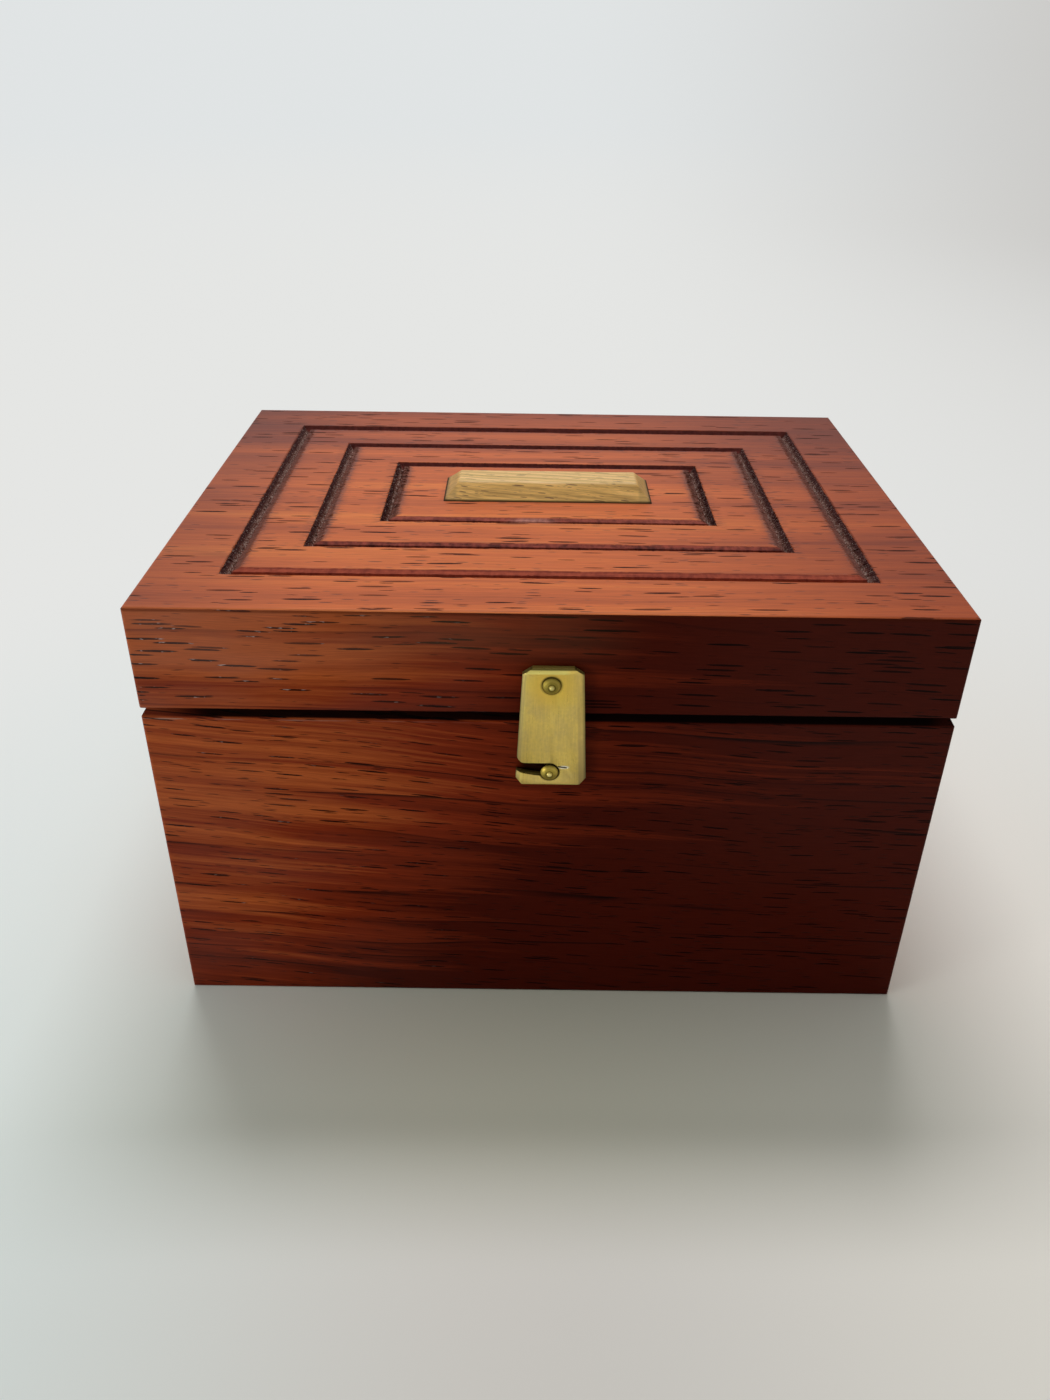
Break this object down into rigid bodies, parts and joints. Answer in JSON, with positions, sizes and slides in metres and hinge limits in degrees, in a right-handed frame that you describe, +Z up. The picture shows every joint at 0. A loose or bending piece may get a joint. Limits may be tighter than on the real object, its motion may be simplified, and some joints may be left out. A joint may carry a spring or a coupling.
{
  "type": "hinged keepsake box",
  "caption": "Hinged wooden box for cards and keepsakes: mitred red-wood boards, grooved lid with a bevelled pull, and a brass swing latch on the front.",
  "frame": {"origin": "on the table, under the middle of the box's boards; the latch stands 3 mm proud of the front", "axes": "+X along the front from left to right, +Y from the front to the hinged back, +Z up from the table"},
  "size_m": [0.16, 0.128, 0.1005],
  "materials": {
    "red_wood": "satin",
    "pale_wood": "satin",
    "brass": "satin, worn"
  },
  "bodies": {
    "base": {"base_front": "red_wood", "base_back": "red_wood", "base_left": "red_wood", "base_right": "red_wood", "base_bottom": "red_wood", "catch_nail": "brass", "left_hinge_base_leaf": "brass", "left_hinge_pin": "brass", "right_hinge_base_leaf": "brass", "right_hinge_pin": "brass", "base_hinge_screws": "brass"},
    "lid": {"lid_top": "red_wood", "lid_front": "red_wood", "lid_back": "red_wood", "lid_left": "red_wood", "lid_right": "red_wood", "lid_pull": "pale_wood", "pivot_nail": "brass", "left_hinge_lid_leaf": "brass", "right_hinge_lid_leaf": "brass", "lid_hinge_screws": "brass"},
    "latch": {"latch_plate": "brass"}
  },
  "joints": [
    {"name": "lid_hinge", "type": "hinge", "parent": "base", "child": "lid", "pos_m": [0, 0.0605, 0.0747], "axis": [-1, 0, 0], "range_deg": [0, 104]},
    {"name": "latch_swing", "type": "hinge", "parent": "lid", "child": "latch", "pos_m": [0.00045, -0.06345, 0.0825], "axis": [0, -1, 0], "range_deg": [0, 334]}
  ]
}
